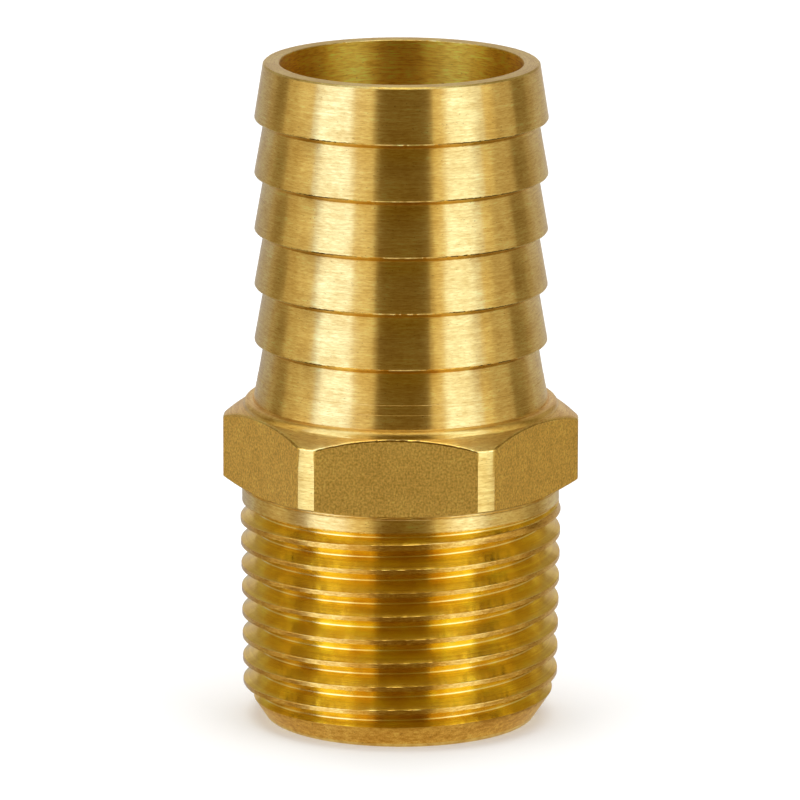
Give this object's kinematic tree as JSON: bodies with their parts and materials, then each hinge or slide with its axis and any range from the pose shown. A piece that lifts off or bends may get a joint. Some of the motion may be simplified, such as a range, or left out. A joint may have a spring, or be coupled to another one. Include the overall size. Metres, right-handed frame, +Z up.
{
  "type": "straight hose fitting",
  "caption": "Straight brass hose fitting: ridged hose barb, spanner hexagon and male taper pipe thread on one axis, with a plain bore right through.",
  "frame": {"origin": "centre of the bore in the end face at the thread, on which the fitting stands", "axes": "+Z up along the bore axis, from the thread to the hose end; one flat of the hexagon faces -Y"},
  "size_m": [0.0303, 0.0274, 0.0568],
  "materials": {
    "brass": "as turned, with fine turning marks; hexagon flats left matt"
  },
  "bodies": {
    "root": {"fitting_body": "brass"}
  },
  "joints": []
}
